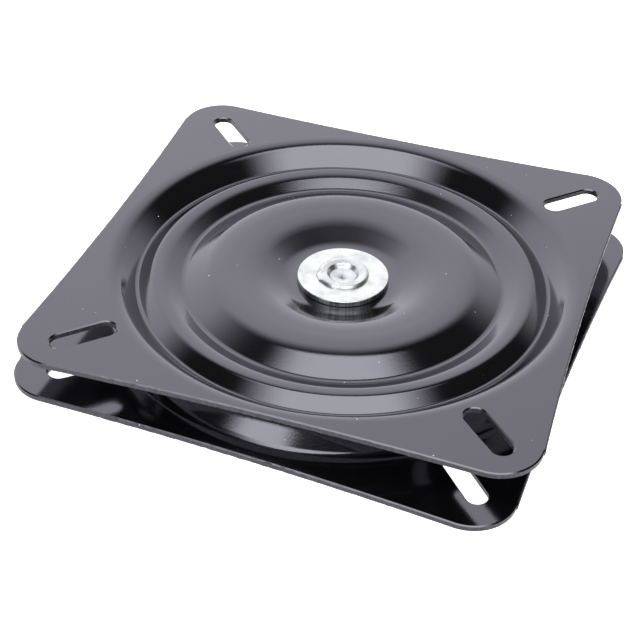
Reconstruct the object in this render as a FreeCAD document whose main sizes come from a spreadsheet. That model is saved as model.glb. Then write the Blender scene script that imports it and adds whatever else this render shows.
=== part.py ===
import FreeCAD, Part
import os
import math
import Sketcher
from FreeCAD import Vector

# Square swivel plate: two like pressed steel plates, one upside down under the other, that turn on
# a ring of steel balls and are held together by a centre rivet with a washer at each end.
# Millimetres, +Z up. The origin is on the swivel axis, at the underside of the lower plate.

os.makedirs("parts", exist_ok=True)
doc = FreeCAD.newDocument("swivel_plate")

SIZES = {
    # blank
    "sheet_thick": 2.5,
    "total_height": 23.0,
    "half_width": 100.0,
    "half_depth": 99.0,
    "corner_rad": 17.2,
    "corner_step": 0.4,
    "side_bow": 1.87,
    "blank_shift_x": -1.5,
    "blank_shift_y": 1.0,
    # screw slots, pointing at the middle
    "slot_rad": 4.3,
    "slot_inner": 100.8,
    "slot_outer": 118.2,
    # pressed rings: each bend's distance from the axis, and the height of the sheet's inner face there
    # above the plane midway between the plates
    "shoulder_rad": 91.65,
    "press_margin": 2.95,
    "outer_valley_under": -0.4,
    "race_outer_slope": 39.4,
    "race_inner_slope": 29.0,
    "inner_valley_under": 0.84,
    "dome_outer_rad": 55.1,
    "dome_outer_under": 6.0,
    "dome_mid_rad": 46.0,
    "dome_mid_under": 7.05,
    "dome_inner_rad": 38.4,
    "dome_inner_under": 6.9,
    "hub_rad": 23.0,
    "hub_under": 0.6,
    "bend_rad": 2.0,
    "dome_bend": 10.0,
    "dish_bend": 16.0,
    "hub_bend": 8.5,
    "crown_bend": 50.0,
    # ball race
    "turn_at_rest": 3.76,
    "ball_dia": 9.525,
    "ball_pitch_rad": 73.86,
    "ball_count": 24,
    "race_play": 0.16,
    "flank_play": 0.04,
    "cage_web": 1.4,
    "cage_thick": 1.2,
    "cage_play": 0.12,
    # centre rivet and its washers
    "rivet_shank": 8.0,
    "hub_play": 0.08,
    "washer_play": 0.02,
    "thrust_play": 0.07,
    "washer_rad": 18.35,
    "washer_thick": 2.5,
    "washer_bevel": 0.45,
    "rivet_lip_over": 2.4,
    "rivet_lip_high": 1.4,
    "rivet_lip_round": 0.6,
    "rivet_cup_rad": 6.3,
    "rivet_cup_floor": 4.6,
    "rivet_cup_deep": 2.4,
    "rivet_head_high": 2.2,
    "rivet_head_flat": 6.8,
    "rivet_head_side": 0.9,
}

sheet = doc.addObject("Spreadsheet::Sheet", "Sizes")
sheet.Label = "sizes"
for row, (alias, number) in enumerate(SIZES.items(), start=1):
    sheet.set("A%d" % row, alias)
    sheet.set("B%d" % row, str(number))
    sheet.setAlias("B%d" % row, alias)
doc.recompute()


def worth(rule):
    found = sheet.evalExpression(rule)
    return float(getattr(found, "Value", found))


def origin_item(body, role):
    return [item for item in body.Origin.OriginFeatures if item.Role == role][0]


def new_sketch(body, name, role):
    sketch = body.newObject("Sketcher::SketchObject", name)
    sketch.AttachmentSupport = [(origin_item(body, role), "")]
    sketch.MapMode = "FlatFace"
    return sketch


def bind(sketch, kind, *where, rule):
    index = sketch.addConstraint(Sketcher.Constraint(kind, *where, worth(rule)))
    sketch.setExpression("Constraints[%d]" % index, rule)


def pin_point(sketch, geo, pos, across, along):
    bind(sketch, "DistanceX", -1, 1, geo, pos, rule=across)
    bind(sketch, "DistanceY", -1, 1, geo, pos, rule=along)


def arc_between(first, last, radius, inward):
    """Counter-clockwise arc of a radius; its centre lies left of first-last, or right where inward."""
    start, end = (last, first) if inward else (first, last)
    chord = end - start
    half = chord.Length / 2
    rise = math.sqrt(radius * radius - half * half)
    left = Vector(-chord.y, chord.x, 0).normalize()
    centre = start + chord * 0.5 + left * rise
    a0 = math.atan2(start.y - centre.y, start.x - centre.x)
    a1 = math.atan2(end.y - centre.y, end.x - centre.x)
    if a1 < a0:
        a1 += 2 * math.pi
    return Part.ArcOfCircle(Part.Circle(centre, Vector(0, 0, 1), radius), a0, a1)


def revolved(body, sketch, name):
    turned = body.newObject("PartDesign::Revolution", name)
    turned.Profile = sketch
    turned.ReferenceAxis = (sketch, ["V_Axis"])
    turned.Angle = 360
    sketch.Visibility = False
    return turned


def round_profile(body, name, points):
    """Closed section in the XZ plane of straight lines between (radius, height) rules, revolved."""
    sketch = new_sketch(body, name + "_section", "XZ_Plane")
    spots = [Vector(worth(across), worth(along), 0) for across, along in points]
    count = len(points)
    for number in range(count):
        sketch.addGeometry(Part.LineSegment(spots[number], spots[(number + 1) % count]))
    for number in range(count):
        sketch.addConstraint(Sketcher.Constraint("Coincident", number, 2, (number + 1) % count, 1))
        pin_point(sketch, number, 1, *points[number])
    return revolved(body, sketch, name + "_turned")


def circle_edges(shape, radius, height):
    """Names of the round edges of a shape that lie on one circle about its axis."""
    found = []
    for number, edge in enumerate(shape.Edges, start=1):
        curve = edge.Curve
        if not isinstance(curve, Part.Circle):
            continue
        centre = curve.Center
        on_axis = math.hypot(centre.x, centre.y) < 0.01
        if on_axis and abs(curve.Radius - radius) < 0.02 and abs(centre.z - height) < 0.02:
            found.append("Edge%d" % number)
    return found


def dress(body, kind, name, spots, prop, rule):
    """Fillet or chamfer on the round edges of the body's last feature at (radius, height) spots."""
    doc.recompute()
    base = body.Tip
    names = []
    for radius, height in spots:
        edges = circle_edges(base.Shape, radius, height)
        if not edges:
            raise ValueError("%s: no edge at %.2f, %.2f" % (name, radius, height))
        names.extend(edges)
    feature = body.newObject("PartDesign::" + kind, name)
    feature.Base = (base, names)
    feature.setExpression(prop, rule)
    base.Visibility = False
    return feature


# Pressed plate, in its own frame with the flat rim's outer face at z = 0. The blank is square with
# round corners, its sides drawn in a little by the pressing. The corner cut leaves a small step at
# the strip's own edges, left and right. The rings fall from the rim to the hub.

def face_depth(under):
    """Height of the outer face where the inner one is at a height above the middle plane."""
    return "(%s) + Sizes.sheet_thick - Sizes.total_height / 2" % under


def flank_rad(side, slope, under):
    """Radius where the race's flank, at a slope and clear of the ball, has its inner face at a height."""
    across = "Sizes.ball_dia / 2 + Sizes.flank_play + Sizes.sheet_thick"
    up = "((%s) + Sizes.sheet_thick) * cos(Sizes.%s * 1 deg)" % (under, slope)
    return "Sizes.ball_pitch_rad %s (%s - %s) / sin(Sizes.%s * 1 deg)" % (side, across, up, slope)


OUTER = ("+", "race_outer_slope")
INNER = ("-", "race_inner_slope")
CREST = "Sizes.ball_dia / 2 + Sizes.race_play"
PRESS_EDGE = "Sizes.shoulder_rad + Sizes.press_margin"
HUB_HOLE = "Sizes.rivet_shank + Sizes.hub_play"
BENDS = [
    (PRESS_EDGE, "0"),
    ("Sizes.shoulder_rad", "0"),
    (flank_rad(*OUTER, "Sizes.outer_valley_under"), face_depth("Sizes.outer_valley_under")),
    (flank_rad(*OUTER, CREST), face_depth(CREST)),
    (flank_rad(*INNER, CREST), face_depth(CREST)),
    (flank_rad(*INNER, "Sizes.inner_valley_under"), face_depth("Sizes.inner_valley_under")),
    ("Sizes.dome_outer_rad", face_depth("Sizes.dome_outer_under")),
    ("Sizes.dome_mid_rad", face_depth("Sizes.dome_mid_under")),
    ("Sizes.dome_inner_rad", face_depth("Sizes.dome_inner_under")),
    ("Sizes.hub_rad", face_depth("Sizes.hub_under")),
    (HUB_HOLE, face_depth("Sizes.hub_under")),
]
# which side of the sheet bulges at each bend, and the inside radius there
BEND_FORMS = {
    1: (True, "bend_rad"),
    2: (False, "bend_rad"),
    3: (True, "bend_rad"),
    4: (True, "bend_rad"),
    5: (False, "bend_rad"),
    6: (True, "dome_bend"),
    7: (True, "crown_bend"),
    8: (True, "dish_bend"),
    9: (False, "hub_bend"),
}


def blank_outline(sketch):
    """Outline of the blank, counter-clockwise: strip edge, step, corner arc, cut edge and so on."""
    points = []
    for sx, sy in ((1, 1), (-1, 1), (-1, -1), (1, -1)):
        wide = "Sizes.blank_shift_x + (%d) * (Sizes.half_width - " % sx
        deep = "Sizes.blank_shift_y + (%d) * (Sizes.half_depth - " % sy
        strip = (wide + "0)", deep + "Sizes.corner_rad - Sizes.corner_step)")
        arc_end = (wide + "Sizes.corner_step)", deep + "Sizes.corner_rad)")
        cut = (wide + "Sizes.corner_step - Sizes.corner_rad)", deep + "0)")
        points.extend([strip, arc_end, cut] if sx * sy > 0 else [cut, arc_end, strip])
    spots = [Vector(worth(across), worth(along), 0) for across, along in points]
    bow = "(pow(%s; 2) + pow(Sizes.side_bow; 2)) / (2 * Sizes.side_bow)"
    cut_side = bow % "Sizes.half_width - Sizes.corner_step - Sizes.corner_rad"
    strip_side = bow % "Sizes.half_depth - Sizes.corner_step - Sizes.corner_rad"
    step = ("line", None)
    corner = ("corner", "Sizes.corner_rad")
    edges = [step, corner, ("side", cut_side), corner, step, ("side", strip_side)] * 2
    for number, (form, rule) in enumerate(edges):
        first = spots[number]
        last = spots[(number + 1) % len(spots)]
        if form == "line":
            sketch.addGeometry(Part.LineSegment(first, last))
        else:
            sketch.addGeometry(arc_between(first, last, worth(rule), form == "side"))
    for number, (form, rule) in enumerate(edges):
        after = (number + 1) % len(edges)
        end = 1 if form == "side" else 2
        start = 2 if edges[after][0] == "side" else 1
        sketch.addConstraint(Sketcher.Constraint("Coincident", number, end, after, start))
        pin_point(sketch, after, start, *points[after])
        if form != "line":
            bind(sketch, "Radius", number, rule=rule)


def pressed_section(sketch):
    """Section of the pressed sheet: outer face bend by bend, and the inner face parallel to it."""
    face = [(worth(across), worth(along)) for across, along in BENDS]
    thick = worth("Sizes.sheet_thick")
    lines = []
    for (r0, z0), (r1, z1) in zip(face, face[1:]):
        run = math.hypot(r1 - r0, z1 - z0)
        lines.append((r0, z0, (r1 - r0) / run, (z1 - z0) / run))
    back = [(face[0][0], face[0][1] - thick)]
    for (r0, z0, ur, uz), (r1, z1, vr, vz) in zip(lines, lines[1:]):
        miter = thick / (1 + ur * vr + uz * vz)
        back.append((r1 - miter * (uz + vz), z1 + miter * (ur + vr)))
    back.append((face[-1][0], face[-1][1] - thick))
    last = len(face) - 1
    for chain in (face, back):
        for (r0, z0), (r1, z1) in zip(chain, chain[1:]):
            sketch.addGeometry(Part.LineSegment(Vector(r0, z0, 0), Vector(r1, z1, 0)))
    rim_end = sketch.addGeometry(Part.LineSegment(Vector(*face[0], 0), Vector(*back[0], 0)))
    hub_end = sketch.addGeometry(Part.LineSegment(Vector(*face[-1], 0), Vector(*back[-1], 0)))
    for number, (across, along) in enumerate(BENDS[:-1]):
        pin_point(sketch, number, 1, across, along)
    pin_point(sketch, last - 1, 2, *BENDS[-1])
    for number in range(last - 1):
        sketch.addConstraint(Sketcher.Constraint("Coincident", number, 2, number + 1, 1))
        sketch.addConstraint(Sketcher.Constraint("Coincident", last + number, 2, last + number + 1, 1))
    for end, number, pos in ((rim_end, 0, 1), (hub_end, last - 1, 2)):
        sketch.addConstraint(Sketcher.Constraint("Coincident", end, 1, number, pos))
        sketch.addConstraint(Sketcher.Constraint("Coincident", end, 2, last + number, pos))
        sketch.addConstraint(Sketcher.Constraint("Vertical", end))
    for number in range(last):
        sketch.addConstraint(Sketcher.Constraint("Parallel", number, last + number))
        bind(sketch, "Distance", last + number, 1, number, rule="Sizes.sheet_thick")
    return face, back


def pressed_plate(name):
    body = doc.addObject("PartDesign::Body", name)
    body.Label = name
    outline = new_sketch(body, name + "_outline", "XY_Plane")
    blank_outline(outline)
    ring = outline.addGeometry(Part.Circle(Vector(0, 0, 0), Vector(0, 0, 1), worth(PRESS_EDGE)))
    outline.addConstraint(Sketcher.Constraint("Coincident", ring, 3, -1, 1))
    bind(outline, "Radius", ring, rule=PRESS_EDGE)
    rim = body.newObject("PartDesign::Pad", name + "_rim")
    rim.Profile = outline
    rim.setExpression("Length", "Sizes.sheet_thick")
    rim.Reversed = True
    doc.recompute()
    section = new_sketch(body, name + "_section", "XZ_Plane")
    face, back = pressed_section(section)
    revolved(body, section, name + "_pressed")
    for number, (bulges, inside) in BEND_FORMS.items():
        outer, inner = (face, back) if bulges else (back, face)
        dress(body, "Fillet", "%s_bend_%d" % (name, number), [inner[number]], "Radius", "Sizes." + inside)
        rule = "Sizes.%s + Sizes.sheet_thick" % inside
        dress(body, "Fillet", "%s_bulge_%d" % (name, number), [outer[number]], "Radius", rule)
    doc.recompute()
    slot = new_sketch(body, name + "_slot", "XY_Plane")
    half = worth("Sizes.slot_rad")
    far = Vector(1, 1, 0) * (worth("Sizes.slot_outer") / math.sqrt(2))
    near = Vector(1, 1, 0) * (worth("Sizes.slot_inner") / math.sqrt(2))
    beside = Vector(-1, 1, 0) * (half / math.sqrt(2))
    turn = math.pi / 4
    up = Vector(0, 0, 1)
    slot.addGeometry(Part.ArcOfCircle(Part.Circle(far, up, half), turn - math.pi / 2, turn + math.pi / 2))
    slot.addGeometry(Part.LineSegment(far + beside, near + beside))
    slot.addGeometry(Part.ArcOfCircle(Part.Circle(near, up, half), turn + math.pi / 2, turn + 1.5 * math.pi))
    slot.addGeometry(Part.LineSegment(near - beside, far - beside))
    for number in range(4):
        after = (number + 1) % 4
        slot.addConstraint(Sketcher.Constraint("Tangent", number, 2, after, 1))
    pin_point(slot, 0, 3, "Sizes.slot_outer / sqrt(2)", "Sizes.slot_outer / sqrt(2)")
    bind(slot, "DistanceX", -1, 1, 2, 3, rule="Sizes.slot_inner / sqrt(2)")
    bind(slot, "DistanceY", -1, 1, 2, 3, rule="Sizes.slot_inner / sqrt(2)")
    bind(slot, "Radius", 0, rule="Sizes.slot_rad")
    cut = body.newObject("PartDesign::Pocket", name + "_slot_cut")
    cut.Profile = slot
    cut.Type = "ThroughAll"
    doc.recompute()
    around = body.newObject("PartDesign::PolarPattern", name + "_slots")
    around.Originals = [cut]
    around.Axis = (origin_item(body, "Z_Axis"), [""])
    around.Angle = 360
    around.Occurrences = 4
    body.Tip = around
    doc.recompute()
    return body


plate_lower = pressed_plate("plate_lower")
plate_lower.Placement = FreeCAD.Placement(Vector(0, 0, 0), FreeCAD.Rotation(Vector(1, 0, 0), 180))
plate_upper = pressed_plate("plate_upper")
plate_upper.Placement = FreeCAD.Placement(Vector(0, 0, 0), FreeCAD.Rotation(Vector(0, 0, 1), 1))
plate_upper.setExpression("Placement.Base.z", "Sizes.total_height")
plate_upper.setExpression("Placement.Rotation.Angle", "Sizes.turn_at_rest * 1 deg")

# Ball race: steel balls midway between the plates, held apart by a flat punched ring.

cage = doc.addObject("PartDesign::Body", "ball_cage")
cage.Label = "ball_cage"
ring_sketch = new_sketch(cage, "cage_ring", "XY_Plane")
cage_reach = "(Sizes.ball_dia / 2 + Sizes.cage_play + Sizes.cage_web)"
for number, rule in enumerate(("Sizes.ball_pitch_rad + " + cage_reach, "Sizes.ball_pitch_rad - " + cage_reach)):
    ring_sketch.addGeometry(Part.Circle(Vector(0, 0, 0), Vector(0, 0, 1), worth(rule)))
    ring_sketch.addConstraint(Sketcher.Constraint("Coincident", number, 3, -1, 1))
    bind(ring_sketch, "Radius", number, rule=rule)
cage_pad = cage.newObject("PartDesign::Pad", "cage_plate")
cage_pad.Profile = ring_sketch
cage_pad.Midplane = True
cage_pad.setExpression("Length", "Sizes.cage_thick")
pocket_sketch = new_sketch(cage, "cage_pocket", "XY_Plane")
pocket_rule = "Sizes.ball_dia / 2 + Sizes.cage_play"
pocket_at = Vector(worth("Sizes.ball_pitch_rad"), 0, 0)
pocket_sketch.addGeometry(Part.Circle(pocket_at, Vector(0, 0, 1), worth(pocket_rule)))
bind(pocket_sketch, "DistanceX", -1, 1, 0, 3, rule="Sizes.ball_pitch_rad")
pocket_sketch.addConstraint(Sketcher.Constraint("PointOnObject", 0, 3, -1))
bind(pocket_sketch, "Radius", 0, rule=pocket_rule)
pocket_cut = cage.newObject("PartDesign::Pocket", "cage_pocket_cut")
pocket_cut.Profile = pocket_sketch
pocket_cut.Type = "ThroughAll"
pocket_cut.Midplane = True
doc.recompute()
pockets = cage.newObject("PartDesign::PolarPattern", "cage_pockets")
pockets.Originals = [pocket_cut]
pockets.Axis = (origin_item(cage, "Z_Axis"), [""])
pockets.Angle = 360
pockets.setExpression("Occurrences", "Sizes.ball_count")
cage.Tip = pockets
cage.setExpression("Placement.Base.z", "Sizes.total_height / 2")

balls = []
for number in range(int(worth("Sizes.ball_count"))):
    ball = doc.addObject("Part::Sphere", "ball_%02d" % (number + 1))
    ball.Label = "ball_%02d" % (number + 1)
    ball.setExpression("Radius", "Sizes.ball_dia / 2")
    angle = "(%d * 360 deg / Sizes.ball_count)" % number
    ball.setExpression("Placement.Base.x", "Sizes.ball_pitch_rad * cos" + angle)
    ball.setExpression("Placement.Base.y", "Sizes.ball_pitch_rad * sin" + angle)
    ball.setExpression("Placement.Base.z", "Sizes.total_height / 2")
    balls.append(ball)

# Washers: turned flat on the hubs of the two plates, both rims bevelled. The lower one lies on its
# plate, the upper one leaves the turning plate a running gap.


def washer(name, bottom_rule):
    body = doc.addObject("PartDesign::Body", name)
    body.Label = name
    flat = new_sketch(body, name + "_flat", "XY_Plane")
    for number, rule in enumerate(("Sizes.washer_rad", "Sizes.rivet_shank + Sizes.washer_play")):
        flat.addGeometry(Part.Circle(Vector(0, 0, 0), Vector(0, 0, 1), worth(rule)))
        flat.addConstraint(Sketcher.Constraint("Coincident", number, 3, -1, 1))
        bind(flat, "Radius", number, rule=rule)
    pad = body.newObject("PartDesign::Pad", name + "_pad")
    pad.Profile = flat
    pad.setExpression("Length", "Sizes.washer_thick")
    rims = [(worth("Sizes.washer_rad"), 0), (worth("Sizes.washer_rad"), worth("Sizes.washer_thick"))]
    dress(body, "Chamfer", name + "_bevel", rims, "Size", "Sizes.washer_bevel")
    body.setExpression("Placement.Base.z", bottom_rule)
    return body


hub_face = "Sizes.hub_under + Sizes.sheet_thick"
lower_head_rule = "Sizes.total_height / 2 - (%s) - Sizes.washer_thick" % hub_face
upper_face_rule = "Sizes.total_height / 2 + (%s) + Sizes.thrust_play" % hub_face
washer_lower = washer("washer_lower", lower_head_rule)
washer_upper = washer("washer_upper", upper_face_rule)

# Rivet: formed head below, shank through both hubs, and above the upper washer the shank's hollow
# end rolled out into a round lip with a cup in it.

rivet = doc.addObject("PartDesign::Body", "rivet")
rivet.Label = "rivet"
head_face = lower_head_rule
head_end = head_face + " - Sizes.rivet_head_high"
lip_face = upper_face_rule + " + Sizes.washer_thick"
lip_reach = "Sizes.rivet_shank + Sizes.rivet_lip_over"
lip_end = lip_face + " + Sizes.rivet_lip_high"
round_profile(rivet, "rivet", [
    ("0", head_end),
    ("Sizes.rivet_head_flat", head_end),
    (lip_reach, head_face + " - Sizes.rivet_head_side"),
    (lip_reach, head_face),
    ("Sizes.rivet_shank", head_face),
    ("Sizes.rivet_shank", lip_face),
    (lip_reach, lip_face),
    (lip_reach, lip_end),
    ("Sizes.rivet_cup_rad", lip_end),
    ("Sizes.rivet_cup_floor", lip_end + " - Sizes.rivet_cup_deep"),
    ("0", lip_end + " - Sizes.rivet_cup_deep"),
])
lip_top = worth(lip_end)
lip_rims = [(worth(lip_reach), lip_top), (worth("Sizes.rivet_cup_rad"), lip_top)]
dress(rivet, "Fillet", "rivet_lip", lip_rims, "Radius", "Sizes.rivet_lip_round")
head_rims = [(worth(lip_reach), worth(head_face + " - Sizes.rivet_head_side"))]
head_rims.append((worth("Sizes.rivet_head_flat"), worth(head_end)))
dress(rivet, "Fillet", "rivet_head", head_rims, "Radius", "Sizes.rivet_lip_round")

doc.recompute()

pieces = [plate_lower, plate_upper, cage, washer_lower, washer_upper, rivet] + balls
for item in doc.Objects:
    if "Invalid" in item.State or "Error" in item.State:
        raise RuntimeError("failed: %s %s" % (item.Label, item.State))
for piece in pieces:
    if piece.Shape.isNull() or not piece.Shape.isValid() or len(piece.Shape.Solids) != 1:
        raise RuntimeError("bad shape: %s" % piece.Label)
for piece in pieces:
    piece.Shape.exportStep("parts/%s.step" % piece.Label)
print("pieces", len(pieces))
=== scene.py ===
import math
import bpy
from mathutils import Matrix, Vector


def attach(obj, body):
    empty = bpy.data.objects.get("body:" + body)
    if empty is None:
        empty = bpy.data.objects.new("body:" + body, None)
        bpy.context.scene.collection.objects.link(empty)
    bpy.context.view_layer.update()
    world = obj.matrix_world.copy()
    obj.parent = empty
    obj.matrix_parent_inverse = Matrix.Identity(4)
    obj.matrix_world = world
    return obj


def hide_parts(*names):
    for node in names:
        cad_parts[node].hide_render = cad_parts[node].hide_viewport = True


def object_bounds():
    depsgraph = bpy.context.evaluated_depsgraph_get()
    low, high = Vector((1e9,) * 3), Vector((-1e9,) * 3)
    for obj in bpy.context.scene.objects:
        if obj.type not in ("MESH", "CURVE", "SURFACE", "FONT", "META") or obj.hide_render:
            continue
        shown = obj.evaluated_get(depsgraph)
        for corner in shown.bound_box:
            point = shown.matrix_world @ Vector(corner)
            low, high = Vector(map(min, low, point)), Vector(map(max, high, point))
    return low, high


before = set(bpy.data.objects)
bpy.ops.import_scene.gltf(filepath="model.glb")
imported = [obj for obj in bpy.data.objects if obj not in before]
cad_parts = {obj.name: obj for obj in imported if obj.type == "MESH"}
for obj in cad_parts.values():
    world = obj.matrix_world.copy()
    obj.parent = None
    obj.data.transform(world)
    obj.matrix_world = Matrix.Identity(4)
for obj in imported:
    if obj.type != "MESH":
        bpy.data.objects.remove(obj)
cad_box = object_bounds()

# The photograph's view: a long lens from the front right, 38 degrees up, with the camera tipped a
# little clockwise. The floor is pale, a bright wall stands behind and a soft box hangs overhead. This
# section's sizes are in metres, and the pieces' own sizes further down in millimetres.

VIEW_TURN, VIEW_RISE, VIEW_ROLL = math.radians(20.64), math.radians(38.24), math.radians(2.13)
VIEW_FROM, VIEW_AT = 0.571, Vector((0.00519, -0.03818, 0.023))
LENS, SENSOR = 84.55, 36.0
FLOOR_SIZE, FLOOR_DROP = 6.0, 0.0004
WALL_LIGHT, BOX_LIGHT, FILL_LIGHT, ROOM_LIGHT = 1.7, 3.85, 3.6, 0.04
WALL_TONE, BOX_TONE = (1, 0.99, 1.05, 1), (1, 1.035, 1.03, 1)
FLOOR_COLOUR, FLOOR_GLOW = (0.86, 0.86, 0.87, 1), (1, 1, 1, 1)

bpy.ops.object.select_all(action="DESELECT")
back = Vector((math.sin(VIEW_TURN) * math.cos(VIEW_RISE), -math.cos(VIEW_TURN) * math.cos(VIEW_RISE),
               math.sin(VIEW_RISE)))
level = back.cross(Vector((0, 0, -1))).normalized()
rise = back.cross(level)
across = level * math.cos(VIEW_ROLL) + rise * math.sin(VIEW_ROLL)
upward = rise * math.cos(VIEW_ROLL) - level * math.sin(VIEW_ROLL)
turned = Matrix((across, upward, back)).transposed().to_4x4()
bpy.ops.object.camera_add()
camera = bpy.context.object
camera.data.lens, camera.data.sensor_width = LENS, SENSOR
camera.data.clip_start, camera.data.clip_end = 0.01, 50.0
camera.matrix_world = Matrix.Translation(VIEW_AT + back * VIEW_FROM) @ turned
bpy.context.scene.camera = camera
bpy.context.scene.view_settings.view_transform = "Standard"


class Sum:
    """A socket that Python's own signs work on: each adds a Math node to its tree."""

    def __init__(self, tree, socket):
        self.tree, self.socket = tree, socket

    def math(self, operation, *others):
        inputs = dict(enumerate((self,) + others))
        return node(self.tree, "ShaderNodeMath", {"operation": operation}, inputs)

    def __add__(self, other):
        return self.math("ADD", other)

    def __sub__(self, other):
        return self.math("SUBTRACT", other)

    def __mul__(self, other):
        return self.math("MULTIPLY", other)

    def __radd__(self, other):
        return self.math("ADD", other)

    def __rmul__(self, other):
        return self.math("MULTIPLY", other)

    def __rsub__(self, other):
        return node(self.tree, "ShaderNodeMath", {"operation": "SUBTRACT"}, {0: other, 1: self})

    def step(self, low, high):
        """0 at low, 1 at high, smooth between and level beyond; low may be the larger."""
        ends = {"Value": self, 1: min(low, high), 2: max(low, high)}
        ramp = node(self.tree, "ShaderNodeMapRange", {"interpolation_type": "SMOOTHSTEP"}, ends)
        return 1 - ramp if low > high else ramp


def node(tree, kind, settings=None, inputs=None, output=0):
    """A node of a kind, its settings first and then the values or links of its sockets."""
    made = tree.nodes.new(kind)
    for name, value in (settings or {}).items():
        setattr(made, name, value)
    for name, value in (inputs or {}).items():
        if isinstance(value, Sum):
            tree.links.new(value.socket, made.inputs[name])
        else:
            made.inputs[name].default_value = value
    return Sum(tree, made.outputs[output]) if made.outputs else made


def blend(tree, share, first, second):
    """A colour between two, by a mask."""
    inputs = {"Factor": share, 6: first, 7: second}
    return node(tree, "ShaderNodeMix", {"data_type": "RGBA", "clamp_factor": True}, inputs, 2)


def new_finish(name):
    """A material with a shader of its own."""
    finish = bpy.data.materials.new(name)
    finish.use_nodes = True
    return finish


def feed(finish, **inputs):
    """Sets the sockets of a material's own shader, by names with _ for the spaces."""
    shader = finish.node_tree.nodes["Principled BSDF"]
    for name, value in inputs.items():
        socket = shader.inputs[name.replace("_", " ")]
        if isinstance(value, Sum):
            finish.node_tree.links.new(value.socket, socket)
        else:
            socket.default_value = value


bpy.ops.mesh.primitive_plane_add(size=FLOOR_SIZE, location=(0, 0, -FLOOR_DROP))
floor = bpy.context.object
floor.name = "floor"
pale = new_finish("floor_pale")
feed(pale, Base_Color=FLOOR_COLOUR, Roughness=0.8, Emission_Color=FLOOR_GLOW, Emission_Strength=1.0)
floor.data.materials.append(pale)

# The light round the piece, in degrees. Climb goes from the horizon beyond the piece (0) over the top
# (90) to the horizon on the camera's side (180), and swing goes from the left to the right of it.
world = bpy.data.worlds.new("studio")
bpy.context.scene.world = world
world.use_nodes = True
sky = world.node_tree
sky.nodes.clear()
away = (-math.sin(VIEW_TURN), math.cos(VIEW_TURN), 0)
side = (math.cos(VIEW_TURN), math.sin(VIEW_TURN), 0)
look = node(sky, "ShaderNodeTexCoord")
ahead = node(sky, "ShaderNodeVectorMath", {"operation": "DOT_PRODUCT"}, {0: look, 1: away}, "Value")
aside = node(sky, "ShaderNodeVectorMath", {"operation": "DOT_PRODUCT"}, {0: look, 1: side}, "Value")
high = node(sky, "ShaderNodeSeparateXYZ", None, {0: look}, 2)
climb = high.math("ARCTAN2", ahead) * (180 / math.pi)
swing = aside.math("ARCSINE") * (180 / math.pi)

wall_top = climb + swing.step(2, 52) * 35 + swing.step(-11, -33) * 7
wall = wall_top.step(88, 54) * (0.46 + 0.54 * swing.step(60, -10)) * swing.step(88, 72) * WALL_LIGHT
box_left = climb.step(96, 122) * -8 - climb.step(120, 127) * 14 - 23
box_sides = (swing - box_left).step(-11, 11) * (swing + box_left).step(11, -11)
box_near = (climb - swing.step(-12, -26) * 8).step(131, 124)
box = climb.step(83, 90.5) * box_near * box_sides * BOX_LIGHT
fill = climb.step(142, 152) * swing.step(-50, -30) * swing.step(50, 30) * FILL_LIGHT
tone = blend(sky, box * 0.25, WALL_TONE, BOX_TONE)
shade = node(sky, "ShaderNodeBackground", None, {"Color": tone, "Strength": wall + box + fill + ROOM_LIGHT})
node(sky, "ShaderNodeOutputWorld", None, {"Surface": shade})

# Upper plate: one square of 2.5 mm sheet steel, blanked, slotted and pressed into rings, then painted
# black. The blanking tool rolls the edges over a little and leaves the cut walls torn. The plate turns
# about the rivet through its hub, and what it carries is screwed to its slots.

SHEET = 2.5
HEIGHT = cad_box[1][2] * 1000
TURN = 3.76
BENDS = [  # distance from the axis, height over the flat rim, radius on the outer face; 0 is a sharp end
    (95.2, 0.0, 0), (91.1, 0.0, 9.0), (82.4, -8.5, 1.5), (75.75, -3.83, 4.1), (71.6, -4.14, 9.5),
    (64.15, -8.13, 2.7), (52.6, -2.48, 14.0), (47.1, -1.95, 29.0), (36.4, -2.8, 29.0), (22.9, -8.4, 13.0),
    (8.08, -8.4, 0)]
WIDE, DEEP, CORNER, STEP, BOW = 99.97, 98.97, 17.2, 0.4, 1.87  # the blank's half sides and their ends
SHIFT = Vector((-1.5, 1.0, 0))  # from the axis to the blank's middle
SLOT_NEAR, SLOT_FAR, SLOT_RADIUS = 100.8, 118.2, 4.3
LIP = (0.45, 0.08, 0.27)  # widths of the strips along a cut, from the cut inwards
ROLLED = [  # which loop along the cuts, on which face, and how far the tool moved it up
    ("edge", 0.0, -0.36), ("roll", 0.0, -0.06), ("edge", -SHEET, 0.3), ("roll", -SHEET, 0.05)]
TORN, TORN_REACH = 0.16, 60.0  # how rough the cut is, and how far along the sides from their middles
BLACK, DUST = (0.0025, 0.0025, 0.003, 1), (0.6, 0.6, 0.6, 1)
EDGE_DARK, EDGE_GREY = (0.004, 0.004, 0.005, 1), (0.03, 0.029, 0.031, 1)


def in_metres(points):
    """The points as Blender's own metres."""
    return [point * 0.001 for point in points]


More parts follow.
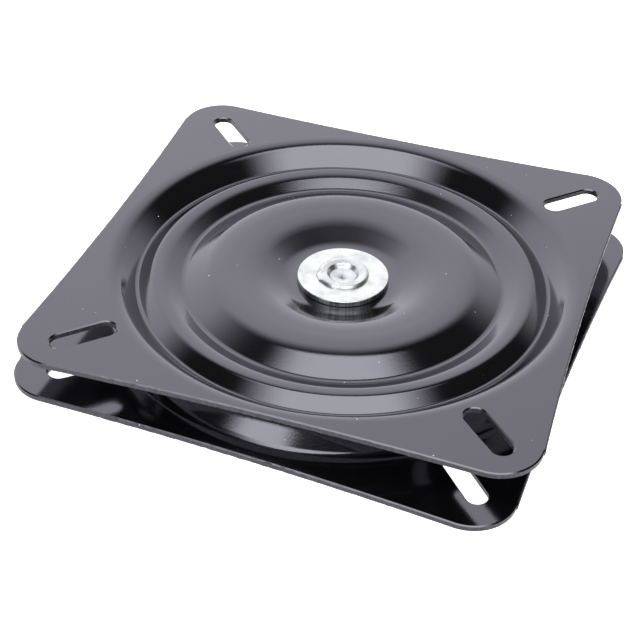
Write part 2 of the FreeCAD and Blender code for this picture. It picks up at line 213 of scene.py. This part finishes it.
def rounded(bends, turn_per_step=4.0):
    """Points of a section, given as (radius, height, bend) in the XZ plane, with its bends as arcs."""
    spots = [Vector((r, 0, z)) for r, z, bend in bends]
    runs = [(there - here).normalized() for here, there in zip(spots, spots[1:])]
    points = [spots[0]]
    for here, come, go, bend in zip(spots[1:], runs, runs[1:], [b[2] for b in bends[1:]]):
        if not bend:
            points.append(here)
            continue
        turn = come.angle(go)
        reach = bend * math.tan(turn / 2)
        centre = here + (go - come).normalized() * (bend / math.cos(turn / 2))
        first, last = here - come * reach, here + go * reach
        steps = max(3, math.ceil(math.degrees(turn) / turn_per_step))
        start, end = first - centre, last - centre
        arc_points = [centre + start.slerp(end, n / steps) * bend for n in range(steps + 1)]
        room = (first - points[-1]).dot(come)
        if room > 0.2:
            points.append(first - come * min(0.35, room / 3))
        points += arc_points
        points.append(last + go * min(0.12, 0.4 * reach))
    points.append(spots[-1])
    return points


def arc(centre, start, end, radius, steps):
    """Points of an arc in the XY plane, from one angle in degrees to another."""
    angles = [math.radians(start + (end - start) * n / steps) for n in range(steps + 1)]
    return [centre + Vector((math.cos(a), math.sin(a), 0)) * radius for a in angles]


def bowed(first, last, bow, steps):
    """Points between two corners along a side that is drawn in by bow at its middle."""
    run = last - first
    inward = Vector((-run.y, run.x, 0)).normalized() * bow
    return [first + run * (n / steps) + inward * (4 * n / steps * (1 - n / steps)) for n in range(1, steps)]


def blank_points():
    """Outline of the blank: round corners, a small step where the strip's edge begins, bowed sides."""
    corners = []
    for number, (sx, sy) in enumerate(((1, 1), (-1, 1), (-1, -1), (1, -1))):
        strip = Vector((sx * WIDE, sy * (DEEP - CORNER - STEP), 0))
        centre = Vector((sx * (WIDE - STEP - CORNER), sy * (DEEP - CORNER), 0))
        bend = arc(centre, 90 * number, 90 * number + 90, CORNER, 22)
        corners.append([strip] + bend if sx * sy > 0 else bend + [strip])
    outline = []
    for corner, after in zip(corners, corners[1:] + corners[:1]):
        outline += corner + bowed(corner[-1], after[0], BOW, 120)
    return [point + SHIFT for point in outline]


def slot_points(angle, grow):
    """Outline of the slot that points outwards at an angle, larger all round by grow."""
    out = Vector((math.cos(math.radians(angle)), math.sin(math.radians(angle)), 0))
    far = arc(out * SLOT_FAR, angle - 90, angle + 90, SLOT_RADIUS + grow, 20)
    return far + arc(out * SLOT_NEAR, angle + 90, angle + 270, SLOT_RADIUS + grow, 20)


def drawn(name, points):
    """A new mesh object, its one chain of edges drawn vertex after vertex."""
    bpy.ops.mesh.primitive_plane_add(size=0.001, location=points[0])
    made = bpy.context.object
    made.name = made.data.name = name
    bpy.ops.object.mode_set(mode="EDIT")
    bpy.ops.mesh.merge(type="CENTER")
    for here, there in zip(points, points[1:]):
        bpy.ops.mesh.extrude_region_move(TRANSFORM_OT_translate={"value": there - here})
    bpy.ops.object.mode_set(mode="OBJECT")
    bpy.ops.object.transform_apply(location=True, rotation=False, scale=False)
    return made


def turned_round(name, points, steps):
    """A section in the XZ plane spun once round the Z axis."""
    made = drawn(name, points)
    bpy.ops.object.mode_set(mode="EDIT")
    bpy.ops.mesh.select_all(action="SELECT")
    bpy.ops.mesh.spin(steps=steps, angle=2 * math.pi, center=(0, 0, 0), axis=(0, 0, 1))
    bpy.ops.mesh.select_all(action="SELECT")
    bpy.ops.mesh.remove_doubles(threshold=1e-6)
    bpy.ops.object.mode_set(mode="OBJECT")
    return made


def in_group(made, name):
    """Puts the vertices selected in edit mode into a vertex group."""
    group = made.vertex_groups.get(name) or made.vertex_groups.new(name=name)
    made.vertex_groups.active_index = group.index
    bpy.ops.object.vertex_group_assign()


def hem(name, points, widths, groups):
    """A closed outline with strips along its inside, each loop in its own vertex group."""
    made = drawn(name, points)
    bpy.ops.object.mode_set(mode="EDIT")
    bpy.ops.mesh.select_all(action="SELECT")
    bpy.ops.mesh.edge_face_add()
    in_group(made, groups[0])
    for width, group in zip(widths, groups[1:]):
        bpy.ops.mesh.inset(thickness=width * 0.001, use_even_offset=True)
        bpy.ops.object.vertex_group_remove_from(use_all_groups=True)
        in_group(made, group)
    bpy.ops.mesh.delete(type="ONLY_FACE")
    bpy.ops.object.mode_set(mode="OBJECT")
    return made


def pick(made, test):
    """Leaves the active object in edit mode, with only the vertices that pass a test selected."""
    bpy.ops.object.mode_set(mode="EDIT")
    bpy.ops.mesh.select_all(action="DESELECT")
    bpy.ops.object.mode_set(mode="OBJECT")
    for vertex in made.data.vertices:
        vertex.select = test(vertex)
    bpy.ops.object.mode_set(mode="EDIT")


def grouped(made, name, vertex):
    """Whether a vertex is in one of the object's vertex groups."""
    return made.vertex_groups[name].index in [membership.group for membership in vertex.groups]


def from_axis(vertex):
    """A vertex's distance from the Z axis, in millimetres."""
    return math.hypot(vertex.co.x, vertex.co.y) * 1000


def facing_out():
    """Turns the faces of the closed or flat mesh in edit mode outwards, and leaves edit mode."""
    bpy.ops.mesh.select_all(action="SELECT")
    bpy.ops.mesh.normals_make_consistent(inside=False)
    bpy.ops.object.mode_set(mode="OBJECT")


def only(*pieces):
    """Selects these objects and no others; the last one is active."""
    bpy.ops.object.select_all(action="DESELECT")
    for piece in pieces:
        piece.select_set(True)
    bpy.context.view_layer.objects.active = pieces[-1]


def place_in_mm(tree, shift=0.0):
    """The object's own coordinates, in millimetres, moved along X to give each finish its own pattern."""
    here = node(tree, "ShaderNodeTexCoord", None, None, "Object")
    here = node(tree, "ShaderNodeVectorMath", {"operation": "SCALE"}, {0: here, "Scale": 1000.0})
    return node(tree, "ShaderNodeVectorMath", {"operation": "ADD"}, {0: here, 1: (shift, 0, 0)})


def stretched(tree, at, factors):
    """Coordinates multiplied along each axis."""
    return node(tree, "ShaderNodeVectorMath", {"operation": "MULTIPLY"}, {0: at, 1: factors})


def noise(tree, at, size, detail=2.0, rough=0.5):
    """Cloudy grey values round 0.5, with clouds of a size in millimetres."""
    inputs = {"Vector": at, "Scale": 1 / size, "Detail": detail, "Roughness": rough}
    return node(tree, "ShaderNodeTexNoise", None, inputs)


def specks(tree, at, cell, radius, share):
    """Small sparse dots: a mask that is 1 inside the dots of a share of the cells."""
    cells = {"Vector": at, "Scale": 1 / cell, "Randomness": 1.0}
    far = node(tree, "ShaderNodeTexVoronoi", None, cells, "Distance")
    hue = node(tree, "ShaderNodeTexVoronoi", None, cells, "Color")
    draw = node(tree, "ShaderNodeSeparateColor", None, {0: hue}, 0)
    size = node(tree, "ShaderNodeSeparateColor", None, {0: hue}, 1)
    reach = (size * 0.8 + 0.5) * (radius / cell)
    return (far - reach).step(0.0, -0.35 * radius / cell) * draw.math("LESS_THAN", share)


def bump(tree, height):
    """A normal from a height in millimetres."""
    return node(tree, "ShaderNodeBump", None, {"Strength": 1.0, "Distance": 0.001, "Height": height})


def black_paint():
    """Baked black paint: fine orange peel, faint press waves and dust under the film."""
    paint = new_finish("black_paint")
    tree = paint.node_tree
    at = place_in_mm(tree, 3.0)
    peel = noise(tree, at, 0.8, 3.0, 0.6)
    fine = noise(tree, at, 0.35)
    waves = noise(tree, at, 17.0, 1.0)
    patchy = noise(tree, at, 24.0, 3.0)
    dust = specks(tree, at, 6.5, 0.27, 0.5)
    grain = specks(tree, at, 3.4, 0.1, 0.22)
    lint = dust.math("MAXIMUM", grain * 0.3)
    height = peel * 0.011 + fine * 0.006 + waves * 0.012 + dust * 0.02 + grain * 0.012
    feed(paint, Base_Color=blend(tree, lint * 0.8, BLACK, DUST),
         Roughness=0.085 + (patchy - 0.5) * 0.05 + (fine - 0.5) * 0.03 + lint * 0.35,
         IOR=1.9, Specular_Tint=(0.9, 0.875, 1.0, 1), Normal=bump(tree, height))
    return paint


def cut_edge():
    """The sheared wall of the sheet under paint: torn across, matt, with the metal's grain in it."""
    edge = new_finish("cut_edge")
    tree = edge.node_tree
    at = place_in_mm(tree, 11.0)
    torn = noise(tree, stretched(tree, at, (1, 1, 0.22)), 0.7, 4.0, 0.65)
    rough = noise(tree, at, 0.3, 3.0, 0.6)
    feed(edge, Base_Color=blend(tree, torn.step(0.35, 0.75), EDGE_DARK, EDGE_GREY),
         Roughness=0.4 + (rough - 0.5) * 0.3, Specular_Tint=(0.8, 0.76, 0.9, 1),
         Normal=bump(tree, torn * 0.11 + rough * 0.05))
    return edge


# The pressed rings, the blank's rim and the slots' rims are drawn apart, and flat sheet is filled
# in between their seams.
plate = turned_round("upper_plate", in_metres(rounded(BENDS)), 192)
pick(plate, lambda vertex: from_axis(vertex) > BENDS[0][0] - 0.01)
in_group(plate, "seam")
bpy.ops.object.mode_set(mode="OBJECT")
rims = [hem("rim", in_metres(blank_points()), LIP, ("edge", "roll", "flat", "seam"))]
for angle in (45, 135, 225, 315):
    around = in_metres(slot_points(angle, sum(LIP)))
    rims.append(hem("slot_rim", around, LIP[::-1], ("seam", "flat", "roll", "edge")))
only(*rims, plate)
bpy.ops.object.join()
bpy.ops.object.mode_set(mode="EDIT")
bpy.ops.mesh.select_all(action="DESELECT")
plate.vertex_groups.active_index = plate.vertex_groups["seam"].index
bpy.ops.object.vertex_group_select()
bpy.ops.mesh.fill(use_beauty=True)
facing_out()
if plate.data.polygons[0].normal.z < 0:
    plate.data.flip_normals()
plate.data.materials.clear()
plate.data.materials.append(black_paint())
plate.data.materials.append(cut_edge())
solid = plate.modifiers.new("sheet", "SOLIDIFY")
solid.thickness, solid.offset, solid.use_even_offset, solid.material_offset_rim = SHEET * 0.001, -1, True, 1
bpy.ops.object.modifier_apply(modifier="sheet")

for group, face, move in ROLLED:
    pick(plate, lambda vertex: grouped(plate, group, vertex) and abs(vertex.co.z * 1000 - face) < 0.2)
    bpy.ops.transform.translate(value=(0, 0, move * 0.001))
pick(plate, lambda vertex: grouped(plate, "edge", vertex)
     and min(abs(vertex.co.x), abs(vertex.co.y)) * 1000 < TORN_REACH)
bpy.ops.transform.vertex_random(offset=TORN * 0.001, seed=4)
bpy.ops.object.mode_set(mode="OBJECT")
bpy.ops.object.shade_smooth_by_angle(angle=math.radians(30))

# Lower plate: the same pressing in the same black paint, turned over to face the upper one. It holds
# the rivet in its hub, and its slots take the screws of the stand.

only(plate)
bpy.ops.object.duplicate()
lower = bpy.context.object
lower.name = lower.data.name = "lower_plate"
lower.rotation_euler.x = math.pi
bpy.ops.object.transform_apply(location=True, rotation=True, scale=False)
only(plate)
plate.rotation_euler.z = math.radians(TURN)
plate.location.z = HEIGHT * 0.001
bpy.ops.object.transform_apply(location=True, rotation=True, scale=False)
for piece, body, stood_for, finish in ((plate, "turntable", "plate_upper", "paint_upper"),
                                       (lower, "base", "plate_lower", "paint_lower")):
    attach(piece, body)
    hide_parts(stood_for)

# Washers: turned steel discs with bright zinc plate, one on each plate's hub. The rivet clamps the lower
# one and holds the upper one, so both ride with it on the base.

WASHER, WASHER_BORE, WASHER_THICK, WASHER_ROUND = 18.35, 8.02, 2.5, 0.42
UPPER_AT, LOWER_AT = 14.67, 5.9
# The tint of the zinc's blotches, then the dark grey that paints shade onto the washers' torn outer sides.
WASHER_TINT, TORN_SIDE_SHADE = (0.45, 0.485, 0.44, 1), (0.22, 0.22, 0.24, 1)


def zinc(name, pale, tint, shift, rim):
    """Bright zinc plate: pale metal with a faint passivation tint, pits, rub marks, and a torn outer side
    that is darkened with painted shade.
    """
    metal = new_finish(name)
    tree = metal.node_tree
    at = place_in_mm(tree, shift)
    cloud = noise(tree, at, 6.0, 4.0, 0.6)
    hue = noise(tree, at, 3.2, 3.0)
    pits = specks(tree, at, 2.2, 0.26, 0.35)
    grit = noise(tree, at, 0.35, 3.0, 0.6)
    dull = cloud.step(0.42, 0.72)
    from_middle = stretched(tree, place_in_mm(tree), (1, 1, 0))
    out = node(tree, "ShaderNodeVectorMath", {"operation": "LENGTH"}, {0: from_middle}, "Value")
    # Mask of the ring's outer side. The tear roughens it, and painted shade darkens it below.
    wall = out.step(rim - 0.25, rim - 0.05)
    torn = noise(tree, stretched(tree, at, (1, 1, 0.12)), 0.75, 3.0, 0.6)
    blue, yellow = (pale * 0.98, pale, pale, 1), (pale, pale * 1.02, pale * 0.97, 1)
    plain = blend(tree, hue.step(0.35, 0.65), blue, yellow)
    worn_and_shaded = blend(tree, dull * 0.75 + pits * 0.6, plain, tint)
    # Painted shade: the outer side is darkened towards a dark grey, in streaks that follow the tear.
    worn_and_shaded = blend(tree, wall * (1 - torn.step(0.4, 0.56)) * 0.65, worn_and_shaded, TORN_SIDE_SHADE)
    feed(metal, Base_Color=worn_and_shaded, Metallic=1.0,
         Roughness=0.3 + dull * 0.12 + (grit - 0.5) * 0.1 + pits * 0.15,
         Normal=bump(tree, grit * 0.004 + cloud * 0.02 - pits * 0.03 + wall * torn * 0.08))
    return metal


def washer(name, bottom):
    """A flat ring with both outer rims rounded over."""
    top = bottom + WASHER_THICK
    section = rounded([(WASHER_BORE, top, 0), (WASHER, top, WASHER_ROUND), (WASHER, bottom, WASHER_ROUND),
                       (WASHER_BORE, bottom, 0), (WASHER_BORE, top, 0)], 10.0)
    made = turned_round(name, in_metres(section), 160)
    bpy.ops.object.mode_set(mode="EDIT")
    facing_out()
    bpy.ops.object.shade_smooth_by_angle(angle=math.radians(35))
    return made


washer_zinc = zinc("washer_zinc", 0.62, WASHER_TINT, 5.0, WASHER)
for name, bottom, stood_for in (("upper_washer", UPPER_AT, "washer_upper"),
                                ("lower_washer", LOWER_AT, "washer_lower")):
    ring = washer(name, bottom)
    ring.data.materials.append(washer_zinc)
    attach(ring, "base")
    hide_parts(stood_for)

# Rivet: zinc plated steel, with a formed head below, a shank through both hubs, and a hollow end that
# was rolled out over the upper washer. The tool left the lip uneven at the left and a four-sided
# mark in the cup.

RIVET = [  # distance from the axis, height, radius on the outer face; 0 is a sharp end
    (0, 3.7, 0), (6.8, 3.7, 0.5), (10.4, 5.0, 0.5), (10.4, 5.9, 0.1), (8.0, 5.9, 0.1), (8.0, 17.17, 0.1),
    (10.3, 17.17, 0.12), (10.4, 18.4, 1.1), (8.5, 18.6, 1.5), (6.5, 18.05, 0.8), (5.2, 16.6, 0.5),
    (3.9, 16.4, 0)]
CUP, CUP_FLOOR = RIVET[-1][:2]
MARK, MARK_DEEP, MARK_TURN = 3.6, 1.6, 25
RIVET_TINT = (0.42, 0.46, 0.46, 1)
LIP_FROM = 17.3
DENTS = [  # angle and half width in degrees, inner and outer radius, and the move, in millimetres
    (214, 19, 9.6, 10.8, (-0.5, -0.3, -0.35)), (218, 13, 8.3, 9.1, (0.0, 0.0, -0.28)),
    (196, 4, 9.0, 10.8, (0.4, 0.1, -0.3)), (150, 9, 9.5, 10.8, (0.2, -0.1, -0.1)),
    (278, 5, 9.7, 10.8, (0.0, 0.3, -0.1))]
DENT_REACH = 0.9


def in_dent(vertex, angle, spread, near, far):
    """Whether a vertex of the lip lies between two radii and near an angle."""
    turn = math.degrees(math.atan2(vertex.co.y, vertex.co.x)) - angle
    off = abs((turn + 180) % 360 - 180)
    return off < spread and near < from_axis(vertex) < far and vertex.co.z * 1000 > LIP_FROM


rivet = turned_round("rivet_body", in_metres(rounded(RIVET, 12.0)), 120)
bpy.ops.mesh.primitive_cone_add(vertices=4, radius1=0, radius2=MARK * 0.001, depth=MARK_DEEP * 0.001,
                                end_fill_type="NOTHING", rotation=(0, 0, math.radians(MARK_TURN)),
                                location=(0, 0, (CUP_FLOOR - MARK_DEEP / 2) * 0.001))
mark = bpy.context.object
bpy.ops.object.transform_apply(location=True, rotation=True, scale=False)
only(mark, rivet)
bpy.ops.object.join()
pick(rivet, lambda vertex: 3.0 < from_axis(vertex) < CUP + 0.01
     and abs(vertex.co.z * 1000 - CUP_FLOOR) < 0.01)
bpy.ops.mesh.fill(use_beauty=True)
for angle, spread, near, far, move in DENTS:
    pick(rivet, lambda vertex: in_dent(vertex, angle, spread, near, far))
    bpy.ops.transform.translate(value=Vector(move) * 0.001, use_proportional_edit=True,
                                proportional_edit_falloff="SMOOTH", proportional_size=DENT_REACH * 0.001)
facing_out()
bpy.ops.object.shade_smooth_by_angle(angle=math.radians(35))
rivet.data.materials.append(zinc("rivet_zinc", 0.58, RIVET_TINT, 17.0, 12.0))
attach(rivet, "base")
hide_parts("rivet")

# Ball race between the plates: 24 polished steel balls in a punched ring of bare sheet steel, which
# keeps them apart and rolls round with them. Both stay as packed.

BALL_STEEL, CAGE_STEEL = (0.62, 0.62, 0.63, 1), (0.45, 0.44, 0.43, 1)


def bare_steel(name, colour, dull):
    """Bare steel with a trace of grease: soft brushing and darker smears."""
    steel = new_finish(name)
    tree = steel.node_tree
    at = place_in_mm(tree)
    smear = noise(tree, at, 2.5, 3.0)
    scratch = noise(tree, at, 0.25)
    darker = tuple(c * 0.6 for c in colour[:3]) + (1,)
    feed(steel, Base_Color=blend(tree, smear.step(0.45, 0.7), colour, darker), Metallic=1.0,
         Roughness=dull + (smear - 0.5) * 0.15, Normal=bump(tree, scratch * 0.004))
    return steel


ball_steel = bare_steel("ball_steel", BALL_STEEL, 0.1)
cage_steel = bare_steel("cage_steel", CAGE_STEEL, 0.35)
for name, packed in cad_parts.items():
    if name.startswith("ball_"):
        for place in packed.material_slots:
            place.material = cage_steel if name == "ball_cage" else ball_steel
